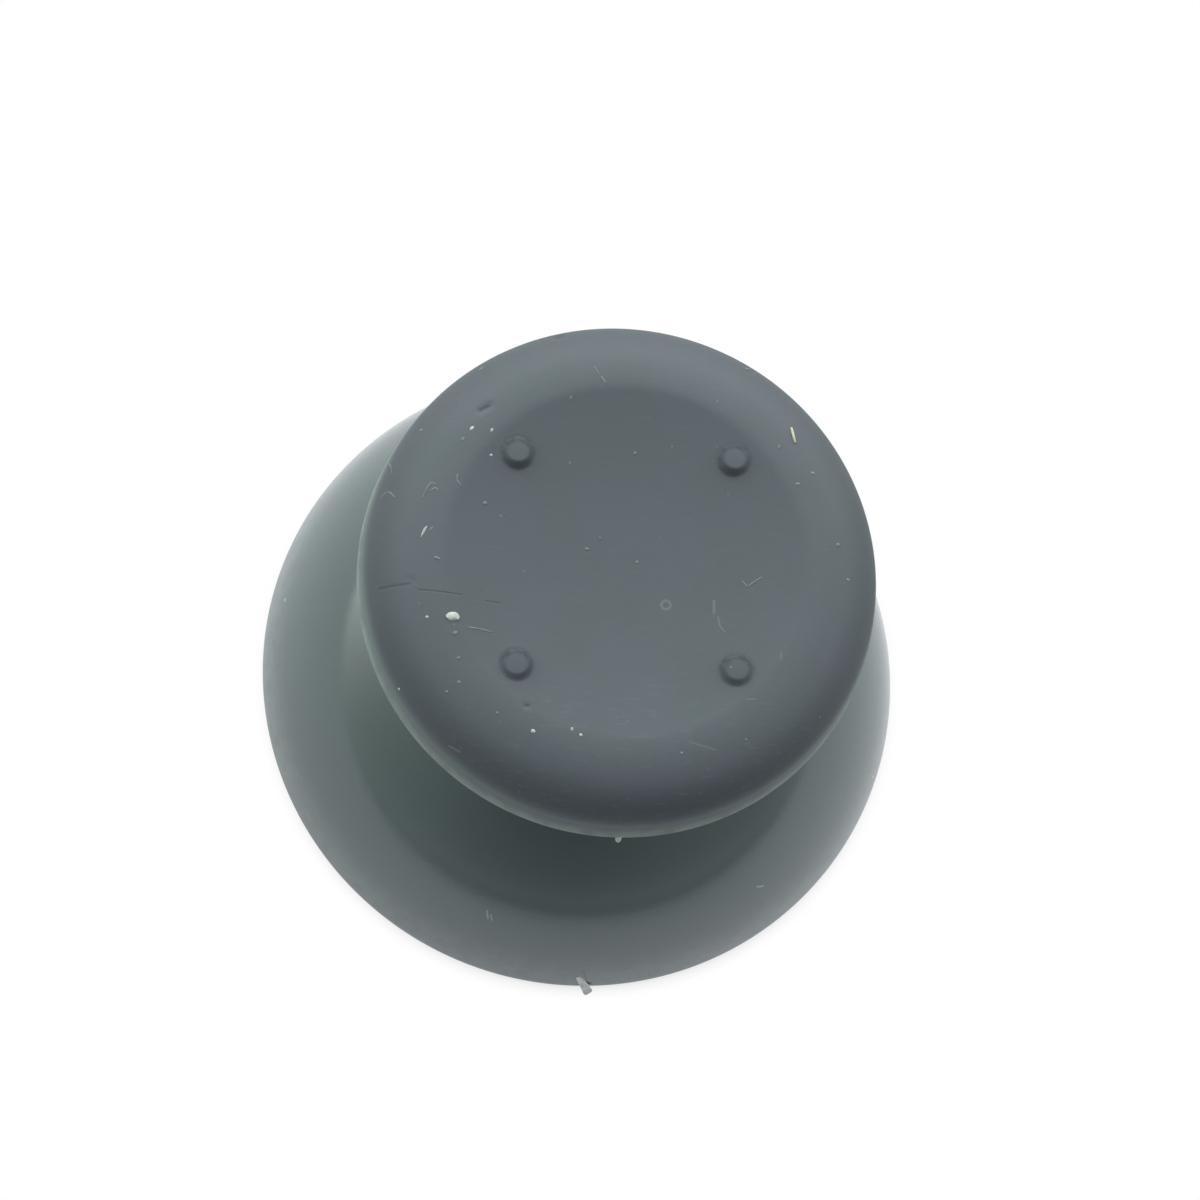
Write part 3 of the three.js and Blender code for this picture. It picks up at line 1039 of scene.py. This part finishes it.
# %% Soft rubber
DARK_SCRATCHES = {
    "dent by the upper left bump": ((480, 410), (489, 406), 0.09),
    "pit below the lower left bump": ((526, 706), (528, 706), 0.08),
    "long one at the left": ((418, 590), (462, 595), 0.045),
    "its far end": ((486, 601), (500, 603), 0.04),
    "broad one at the left": ((381, 589), (410, 584), 0.09),
}
LIGHT_SCRATCHES = {
    "upright one at the right": ((714, 601), (714, 613), 0.075),
    "bright one under it": ((718, 617), (720, 626), 0.05),
    "its tail": ((720, 626), (725, 632), 0.035),
    "short one further right": ((781, 652), (781, 660), 0.04),
    "level one by the lower right bump": ((748, 699), (756, 699), 0.04),
    "faint one near the front left": ((449, 746), (460, 752), 0.04),
    "faint one at the front right": ((690, 742), (716, 750), 0.04),
}
FAINT_RING = (666, 605)
FAINT_RING_RADIUS = 0.15
FAINT_RING_WIDTH = 0.08
# share of the painted crease shade and of the dark scratches
SHADE_AND_SCRATCH_SHARE = 0.85
SCRATCH_SHARE = 0.43
SCRATCH_DEPTH = 0.01
LIGHT_SHARE = 0.65
STREAKS_FROM = -3.0
STREAKS_FULL = -6.0
STREAKS_LEAST = 0.05
STREAKS_MORE = 0.12
POWDER_SHARE = 0.3
RUBBER_GRAIN = 0.012
RUBBER_GRAIN_SHARE = 0.5
RUBBER_GRAINS = 7000.0
RUBBER_ROUGHNESS = 0.64
RUBBER_UNEVEN = 0.14
CREASE_ROUGHNESS = 0.25
RUBBER_IOR = 1.45
RUBBER_DUST = {"Cells": 900.0, "Share": 0.18, "Size": 0.055}
RUBBER_POWDER = {"Cells": 2600.0, "Share": 0.12, "Size": 0.12}
RUBBER_STREAKS = {"Squeeze": (1.0, 5.0, 5.0), "Marks": 1300.0, "From": 0.56}


def rubber_finish():
    """Matt rubber: tones, painted crease shade, scratches, dust and streaks, and the mould's grain.
    """
    material, tree, shader, position = new_finish("matt_rubber")
    grain = place_group(tree, fine_grain, position, Grains=RUBBER_GRAINS)
    dust = place_group(tree, settled_dust, position, **RUBBER_DUST)
    powder = place_group(tree, settled_dust, position, **RUBBER_POWDER)
    streaks = place_group(tree, handling_marks, position, **RUBBER_STREAKS)
    circle = place_group(
        tree, ring, position, Centre=on_cap(FAINT_RING)[0] * MM,
        Radius=FAINT_RING_RADIUS * MM, Width=FAINT_RING_WIDTH * MM,
    )
    # painted shade in the creases round the bumps
    crease_shade = painted_crease_shade(tree, position)
    scratched = marks_of(tree, position, DARK_SCRATCHES)
    dark = math_node(tree, "MAXIMUM", crease_shade, math_node(tree, "MULTIPLY", scratched, SCRATCH_SHARE))
    dark = math_node(tree, "MULTIPLY", dark, SHADE_AND_SCRATCH_SHARE)
    light = marks_of(tree, position, LIGHT_SCRATCHES, circle["Mask"])
    light = math_node(tree, "MULTIPLY", light, LIGHT_SHARE)
    depth = vector_node(tree, "DOT_PRODUCT", position, BACKWARDS)
    in_front = fade(tree, depth, STREAKS_FULL * MM, STREAKS_FROM * MM)
    streak = math_node(tree, "MULTIPLY_ADD", in_front, STREAKS_MORE, STREAKS_LEAST)
    streak = math_node(tree, "MULTIPLY", streaks["Mask"], streak)
    light = math_node(tree, "MAXIMUM", light, streak)
    powdered = math_node(tree, "MULTIPLY", powder["Mask"], POWDER_SHARE)
    dusty = math_node(tree, "MAXIMUM", dust["Mask"], powdered)
    plain = rubber_tones(tree, position, grain["Tone"])
    cut = relief(tree, math_node(tree, "MULTIPLY", scratched, -1.0), SCRATCH_DEPTH * MM)
    fill(tree, shader, {
        "Base Color": layered(
            tree, plain, (dark, RUBBER_DARK), (light, SCUFF_COLOUR), (dusty, DUST_COLOUR)
        ),
        "Roughness": roughened(
            tree, RUBBER_ROUGHNESS, (grain["Tone"], RUBBER_UNEVEN), (crease_shade, CREASE_ROUGHNESS)
        ),
        "Normal": relief(
            tree, grain["Height"], RUBBER_GRAIN * MM, RUBBER_GRAIN_SHARE, before=cut
        ),
        "IOR": RUBBER_IOR,
    })
    return material


soft_rubber = rubber_finish()
pad = make_piece("grip_pad_skin", [pad_form], soft_rubber)
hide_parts("grip_pad")
bumps = make_piece("grip_bumps", bump_forms, soft_rubber)

# %% [markdown]
# ## Leftovers of moulding
# Two small leftovers break the clean outlines: a sliver of flash that sticks out under the
# skirt's rim, and a nub on the pad's lower edge. A sliver is a flat section carried along a
# short path, with a rounded end. The flash's pale colour is partly its own and partly painted
# light that stands in for light shining through the thin sliver.

# %% Swept slivers and fibres
END_SHRINK = 0.96
TIP_SHARE = 0.2


def smooth_path(points, count):
    """A smooth curve through the points: each coordinate is a spline over the share of the way.

    Between two points it is the cubic that has their places and half the step between their
    neighbours as its slopes.
    """
    points = np.array(points, float)
    slope = np.gradient(points, axis=0)
    at = np.linspace(0, len(points) - 1, count)
    i = np.minimum(at.astype(int), len(points) - 2)
    t = (at - i)[:, None]
    h00, h10 = 2 * t**3 - 3 * t**2 + 1, t**3 - 2 * t**2 + t
    h01, h11 = -2 * t**3 + 3 * t**2, t**3 - t**2
    return h00 * points[i] + h10 * slope[i] + h01 * points[i + 1] + h11 * slope[i + 1]


def swept(path, upward, width, thickness, sides=10, blunt=0.25):
    """A closed strand of oval section along a path, its width one number or one for each point.

    The section's long axis lies across the path and its short axis along upward. Both shrink
    towards the ends by the root of one minus the square of the way into the blunt length.
    """
    count = len(path)
    along = unit(np.gradient(path, axis=0))
    across = unit(np.cross(along, upward))
    over = np.cross(across, along)
    share = np.linspace(0, 1, count + 2)[1:-1]
    near_end = np.clip(1 - np.minimum(share, 1 - share) / blunt, 0, 1)
    size = np.sqrt(1 - near_end**2 * END_SHRINK)[:, None, None]
    around = even_angles(sides)[None, :, None]
    wide = np.cos(around) * np.reshape(width, (-1, 1, 1)) / 2
    thick = np.sin(around) * thickness / 2
    rings = path[:, None] + size * (wide * across[:, None] + thick * over[:, None])
    tip = along * thickness * TIP_SHARE
    return closed_form(rings, path[0] - tip[0], path[-1] + tip[-1])


# %% Flash at the rim, and the nub on the pad's edge
FLASH_ROOT = (578.5, 977)
FLASH_TIP = (588.5, 993)
FLASH_WIDTH = (0.22, 0.36)
FLASH_THICKNESS = 0.09
FLASH_SUNK = 0.02
FLASH_STEP = 0.06
# pale torn plastic, made paler by painted light that shines through the thin flash
PALE_FLASH = (0.92, 0.93, 0.90, 1.0)
DARK_FLASH = (0.72, 0.75, 0.71, 1.0)
PALE_NUB = (0.62, 0.68, 0.64, 1.0)
DARK_NUB = (0.44, 0.49, 0.46, 1.0)
NUB_ROOT = (620, 835)
NUB_DROP = 0.26
NUB_WIDTH = 0.21
NUB_THICKNESS = 0.2
NUB_ABOVE = 0.12
NUB_SUNK = 0.08
DULL_GRAIN = 0.01
DULL_GRAIN_SHARE = 0.6
DULL_SPLIT = (0.6, 0.4)
DULL_ROUGHNESS = 0.6
DULL_UNEVEN = 0.2
TORN_GRAINS = 60000.0


def dull_finish(name, light, shade, grains):
    """A dull, uneven finish: two tones by the slow noise, and a coarse grain."""
    material, tree, shader, position = new_finish(name)
    grain = place_group(tree, fine_grain, position, Grains=grains)
    fill(tree, shader, {
        "Base Color": mix_colour(tree, fade(tree, grain["Tone"], *DULL_SPLIT), shade, light),
        "Roughness": roughened(tree, DULL_ROUGHNESS, (grain["Tone"], DULL_UNEVEN)),
        "Normal": relief(tree, grain["Height"], DULL_GRAIN * MM, DULL_GRAIN_SHARE),
    })
    return material


# the flash's finish: its own pale colour and painted light through it
torn_plastic_lit_through = dull_finish("torn_plastic_lit_through", PALE_FLASH, DARK_FLASH, TORN_GRAINS)
torn_rubber = dull_finish("torn_rubber", PALE_NUB, DARK_NUB, TORN_GRAINS)


def flash_form():
    """The sliver: it leans on the skirt's foot and widens evenly down to the floor.

    Its tip is where the ray through its pixel comes down to half its thickness over the floor.
    """
    root, facing = on_cap(FLASH_ROOT)
    ray = pixel_ray(FLASH_TIP)
    tip = cam_place + ray * (FLASH_THICKNESS - cam_place[2]) / ray[2]
    path = line(root - facing * FLASH_SUNK, tip, FLASH_STEP)
    width = np.linspace(*FLASH_WIDTH, len(path))
    return swept(path, facing + [0, 0, 2], width, FLASH_THICKNESS, blunt=0.12)


def nub_form():
    """The nub: a short round stub that hangs from the pad's lower edge."""
    root, facing = on_cap(NUB_ROOT)
    outwards = unit(facing * IN_PLAN)
    start = np.array([root[0], root[1], pad_underside + NUB_ABOVE]) - outwards * NUB_SUNK
    stop = start + outwards * 2 * NUB_SUNK - [0, 0, NUB_ABOVE + NUB_DROP]
    path = smooth_path([start, (start + stop) / 2, stop], 10)
    return swept(path, outwards, NUB_WIDTH, NUB_THICKNESS, blunt=0.4)


flash = make_piece("rim_flash", [flash_form()], torn_plastic_lit_through)
nub = make_piece("edge_nub", [nub_form()], torn_rubber)

# %% [markdown]
# ## Dust and lint
# The pad has picked up specks, a white chip, a yellowish splinter and some fine fibres. They
# are real bodies with a thickness, set on the surface by the ray through their pixel. A speck
# is a flattened, uneven ball, half sunk into the surface, and a fibre is a thin strand.

# %% Finishes of the lint
CHIP_COLOUR = (0.62, 0.66, 0.62, 1.0)
CHIP_SHADE = (0.42, 0.46, 0.44, 1.0)
GREY_COLOUR = (0.24, 0.265, 0.27, 1.0)
GREY_SHADE = (0.17, 0.19, 0.195, 1.0)
SPLINTER_COLOUR = (0.66, 0.66, 0.50, 1.0)
SPLINTER_SHADE = (0.46, 0.45, 0.32, 1.0)
LINT_GRAINS = 60000.0
SPLINTER_GRAINS = 40000.0

pale_lint = dull_finish("pale_lint", CHIP_COLOUR, CHIP_SHADE, LINT_GRAINS)
grey_lint = dull_finish("grey_lint", GREY_COLOUR, GREY_SHADE, LINT_GRAINS)
yellow_lint = dull_finish("yellow_lint", SPLINTER_COLOUR, SPLINTER_SHADE, SPLINTER_GRAINS)

# %% Specks
PX_PER_MM = 29.0
SPECK_RINGS = 5
SPECK_TURNS = 10
SPECK_UNEVEN = (0.8, 1.15)
SPECK_HEIGHT = 0.45
shapes = np.random.default_rng(7)

WHITE_SPECKS = {
    "white chip": ((453, 616), 15, 9, -5),
    "upper left, first": ((472, 428), 5, 3, 40),
    "upper left, second": ((492, 430), 4.5, 3, 60),
    "upper left, third": ((491, 455), 3.5, 2.5, 0),
    "front of the dish, left": ((533, 731), 4.5, 3.5, 0),
    "front of the dish, upper": ((572, 729), 4, 2.5, 90),
    "front of the dish, right": ((581, 735), 3.5, 3, 0),
    "long one at the left": ((424, 531), 13, 2.5, 65),
    "left of the chip": ((427, 617), 3.5, 3, 0),
    "left edge": ((399, 689), 3, 2.5, 0),
}
GREY_SPECKS = {
    "under the chip": ((455, 633), 6, 4, 30),
    "below the upper left bump": ((485, 503), 4, 4, 90),
    "middle, upper": ((600, 538), 3, 3, 0),
    "middle, lower": ((587, 549), 5, 3, 0),
    "between the upper bumps": ((635, 453), 3, 3, 0),
    "right of the middle": ((637, 562), 3, 3, 0),
    "above the crest": ((571, 398), 5, 3, 60),
    "far left shoulder, upper": ((481, 369), 6, 3, 30),
    "far left shoulder, lower": ((421, 430), 4, 3, 0),
    "left of the upper left bump": ((463, 439), 5, 3, 60),
    "right shoulder, first": ((813, 473), 5, 3, 0),
    "right shoulder, second": ((798, 484), 5, 3, 0),
    "right shoulder, third": ((838, 545), 5, 4, 60),
    "right shoulder, fourth": ((848, 580), 4, 3, 0),
    "below the splinter": ((779, 447), 5, 2.5, 80),
    "front left, lowest": ((497, 713), 3, 3, 0),
    "front left, first": ((459, 658), 4, 3, 0),
    "front left, second": ((459, 682), 3, 3, 0),
    "front left, third": ((447, 692), 3, 3, 0),
    "front right, first": ((746, 740), 3, 3, 0),
    "front right, second": ((682, 753), 3, 2.5, 0),
    "beside the long one": ((431, 529), 6, 2, 60),
    "flat one at the left": ((437, 558), 7, 3, -20),
    "fleck on the far right edge": ((747, 369), 7, 4, 30),
}


def speck_form(pixel, length, width, turn):
    """An uneven flattened ball on the cap.

    Its points are a sphere's, stretched along two directions in the surface and flattened
    along the third, and pushed in or out by a random share at each.
    """
    place, facing = on_cap(pixel)
    first = unit(cam_right - facing * (cam_right @ facing))
    second = np.cross(facing, first)
    lean = math.radians(-turn)
    first, second = (
        math.cos(lean) * first - math.sin(lean) * second,
        math.sin(lean) * first + math.cos(lean) * second,
    )
    polar = np.linspace(0, math.pi, SPECK_RINGS + 2)[1:-1, None]
    around = even_angles(SPECK_TURNS)[None, :]
    uneven = shapes.uniform(*SPECK_UNEVEN, (SPECK_RINGS, SPECK_TURNS))
    a, b = (uneven * np.sin(polar) * f for f in (np.cos(around), np.sin(around)))
    half_length, half_width = length / PX_PER_MM / 2, width / PX_PER_MM / 2
    half_height = SPECK_HEIGHT * half_width
    up = np.cos(polar) + 0 * around
    rings = (
        place
        + (a * half_length)[..., None] * first
        + (b * half_width)[..., None] * second
        + (up * half_height)[..., None] * facing
    )
    pole = facing * half_height
    return closed_form(rings, place + pole, place - pole)


white_forms = [speck_form(*speck) for speck in WHITE_SPECKS.values()]
grey_forms = [speck_form(*speck) for speck in GREY_SPECKS.values()]
white_specks = make_piece("white_specks", white_forms, pale_lint)
grey_specks = make_piece("grey_specks", grey_forms, grey_lint)

# %% Fibres and the splinter
FIBRE_WIDTH = 0.045
FIBRE_THICKNESS = 0.02
FIBRES = {
    "tail of the white chip": [(468, 627), (480, 629), (492, 632)],
    "above the crest, first": [(594, 366), (599, 374)],
    "above the crest, second": [(601, 376), (606, 383)],
    "over the far left edge": [(389, 463), (391, 467), (392, 474)],
    "tangle, long": [(422, 498), (427, 488), (431, 483), (436, 484)],
    "tangle, short": [(430, 491), (435, 488), (438, 490)],
    "short curve": [(458, 473), (457, 480), (462, 486)],
    "tick, short arm": [(742, 581), (745, 584), (747, 587)],
    "tick, long arm": [(747, 587), (754, 582), (762, 577)],
    "loop at the edge": [(380, 498), (388, 492), (395, 497)],
}
SPLINTER = [(791, 428), (793, 435), (795, 443)]
SPLINTER_WIDTH = 0.1
SPLINTER_THICKNESS = 0.08
RAISED = 0.3


def laid_fibre(pixels, width, thickness):
    """A strand along the surface, through the places under its pixels.

    A step as long as the pad is thick means that a pixel looks past the pad, so it stops there.
    """
    met = [on_cap(p) for p in pixels]
    longest = max(np.linalg.norm(b[0] - a[0]) for a, b in zip(met, met[1:]))
    if longest > PAD_COVER:
        raise ValueError(f"the strand through {pixels} leaves the pad")
    places = [place + out * thickness * RAISED for place, out in met]
    return swept(smooth_path(places, 4 * len(met) + 2), met[0][1], width, thickness, sides=6)


fibre_forms = [laid_fibre(pixels, FIBRE_WIDTH, FIBRE_THICKNESS) for pixels in FIBRES.values()]
fibres = make_piece("pad_fibres", fibre_forms, grey_lint)
splinter_form = laid_fibre(SPLINTER, SPLINTER_WIDTH, SPLINTER_THICKNESS)
splinter = make_piece("pad_splinter", [splinter_form], yellow_lint)

# %% [markdown]
# ## Floor, light and surroundings
# The cap stands on a white table. The light is soft and comes mostly from above and behind,
# and the side towards the camera is dark. The surroundings are smooth lobes of light, each
# strongest in one direction, and a near lamp makes the far side of the pad a little brighter
# than the near side. The white of the background is the floor's own, so it takes no more light.

# %% Surroundings
LOBES = {
    "behind": ((0.0, 1.0, 0.15), 5.0, (1.38, 1.44, 1.38)),
    "behind left": ((-1.0, 0.85, 0.15), 6.5, (2.42, 2.56, 2.47)),
    "behind right": ((1.0, 0.8, 0.15), 5.0, (1.84, 1.95, 1.87)),
    "left": ((-1.0, -0.2, 0.15), 6.0, (0.25, 0.27, 0.26)),
    "high left": ((-1.0, 0.3, 1.2), 4.0, (0.72, 0.78, 0.76)),
    "high right": ((1.0, -0.1, 0.9), 4.0, (0.42, 0.45, 0.44)),
    "front left": ((-0.7, -1.0, 0.3), 5.0, (0.195, 0.185, 0.225)),
    "front right": ((0.7, -1.0, 0.3), 5.0, (0.215, 0.205, 0.245)),
}
AMBIENT = (0.005, 0.005, 0.005)
GLOW = (0.27, 0.28, 0.28)
GLOW_POWER = 6.0
PLAIN_WHITE = (1.0, 1.0, 1.0, 1.0)


def surroundings():
    """The world: ambient light, a glow along the horizon, and the lobes.

    The glow is one minus the height of the direction, to its power, and a lobe is the cosine
    from its axis, to its power. The camera itself sees plain white.
    """
    world = bpy.data.worlds.new("surroundings")
    world.use_nodes = True
    tree = world.node_tree
    direction = tree.nodes.new("ShaderNodeTexCoord").outputs["Generated"]
    height = math_node(tree, "ABSOLUTE", vector_node(tree, "DOT_PRODUCT", direction, UPWARDS))
    glow = math_node(tree, "POWER", math_node(tree, "SUBTRACT", 1.0, height), GLOW_POWER)
    total = vector_node(tree, "MULTIPLY_ADD", GLOW, glow, AMBIENT)
    for axis, power, level in LOBES.values():
        cosine = vector_node(tree, "DOT_PRODUCT", direction, unit(np.array(axis)))
        share = math_node(tree, "POWER", math_node(tree, "MAXIMUM", cosine, 0.0), power)
        total = vector_node(tree, "MULTIPLY_ADD", level, share, total)
    seen = tree.nodes.new("ShaderNodeLightPath").outputs["Is Camera Ray"]
    fill(tree, tree.nodes["Background"], {"Color": mix_colour(tree, seen, total, PLAIN_WHITE)})
    return world


bpy.context.scene.world = surroundings()

# %% Lamp
LAMP_PLACE = (12.0, 62.0, 88.0)
LAMP_AIM = (0.0, 0.0, crest_height)
LAMP_SIZE = 60.0
LAMP_LEVEL = 0.30
LAMP_COLOUR = (1.0, 1.0, 0.99)


def soft_lamp(name, place, aim, size, level, colour):
    """A square lamp that lights level white at the aim to that level.

    Its power is the level times pi squared times the distance squared over the cosine at the aim.
    """
    place, aim = np.array(place) * MM, np.array(aim) * MM
    reach = np.linalg.norm(place - aim)
    data = bpy.data.lights.new(name, "AREA")
    data.shape = "SQUARE"
    data.size = size * MM
    data.energy = level * math.pi**2 * reach**2 / ((place - aim)[2] / reach)
    data.color = colour
    made = bpy.data.objects.new(name, data)
    made.location = place
    made.rotation_euler = Vector(aim - place).to_track_quat("-Z", "Y").to_euler()
    bpy.context.scene.collection.objects.link(made)
    return made


lamp = soft_lamp("near_lamp", LAMP_PLACE, LAMP_AIM, LAMP_SIZE, LAMP_LEVEL, LAMP_COLOUR)
print(f"near lamp: {lamp.data.energy:.4f} W")

# %% Floor
FLOOR_SIZE = 600.0
FLOOR_FRONT = 58.0
FLOOR_DROP = 0.01
FLOOR_COLOUR = (0.93, 0.93, 0.93, 1.0)
FLOOR_PALER = (0.95, 0.95, 0.95, 1.0)
DIM_FROM = -14.0
SHADOW_FROM = 11.0
SHADOW_TO = 12.45
SHADOW_CURVE = 0.6
SHADOW_SHIFT = (0.03, -0.16, 0.0)
MIRRORED_WHITE = (0.93, 0.96, 1.0, 1.0)
MIRRORED_DIM = (0.36, 0.38, 0.40, 1.0)


def floor_finish():
    """White table: beside the cap it shows its own shading, and further out plain white.

    Only rays of the camera and of reflections see the plain white, so the light stays the same.
    Reflections see it dimmer towards the table's front edge, where the room is dark.
    """
    material, tree, shader, position = new_finish("white_table")
    shade = mix_colour(tree, noise(tree, position, 300.0, 3), FLOOR_COLOUR, FLOOR_PALER)
    fill(tree, shader, {"Base Color": shade, "Roughness": 0.9})
    flat = vector_node(tree, "MULTIPLY", position, IN_PLAN)
    reach = vector_node(tree, "DISTANCE", flat, np.array(SHADOW_SHIFT) * MM)
    outside = fade(tree, reach, SHADOW_TO * MM, SHADOW_FROM * MM)
    outside = math_node(tree, "POWER", outside, SHADOW_CURVE)
    depth = vector_node(tree, "DOT_PRODUCT", position, BACKWARDS)
    behind = fade(tree, depth, DIM_FROM * MM, -FLOOR_FRONT * MM)
    mirrored = mix_colour(tree, behind, MIRRORED_DIM, MIRRORED_WHITE)
    path = tree.nodes.new("ShaderNodeLightPath").outputs
    white = tree.nodes.new("ShaderNodeEmission")
    tint = mix_colour(tree, path["Is Glossy Ray"], PLAIN_WHITE, mirrored)
    fill(tree, white, {"Color": tint})
    viewed = math_node(tree, "MULTIPLY", outside, path["Is Camera Ray"])
    share = math_node(tree, "MAXIMUM", viewed, path["Is Glossy Ray"])
    mixed = tree.nodes.new("ShaderNodeMixShader")
    fill(tree, mixed, {0: share, 1: shader.outputs[0], 2: white.outputs[0]})
    fill(tree, tree.nodes["Material Output"], {"Surface": mixed.outputs[0]})
    return material


side, front = FLOOR_SIZE * MM, -FLOOR_FRONT * MM
floor_corners = ((-side, front), (side, front), (side, side), (-side, side))
floor_mesh = bpy.data.meshes.new("table_top")
floor_mesh.from_pydata([(x, y, -FLOOR_DROP * MM) for x, y in floor_corners], [], [(0, 1, 2, 3)])
floor_mesh.materials.append(floor_finish())
floor = bpy.data.objects.new("table_top", floor_mesh)
bpy.context.scene.collection.objects.link(floor)

# %% [markdown]
# ## View transform
# The view transform stays plain, so colours come out as they are written.

# %% Finish
bpy.context.scene.view_settings.view_transform = "Standard"
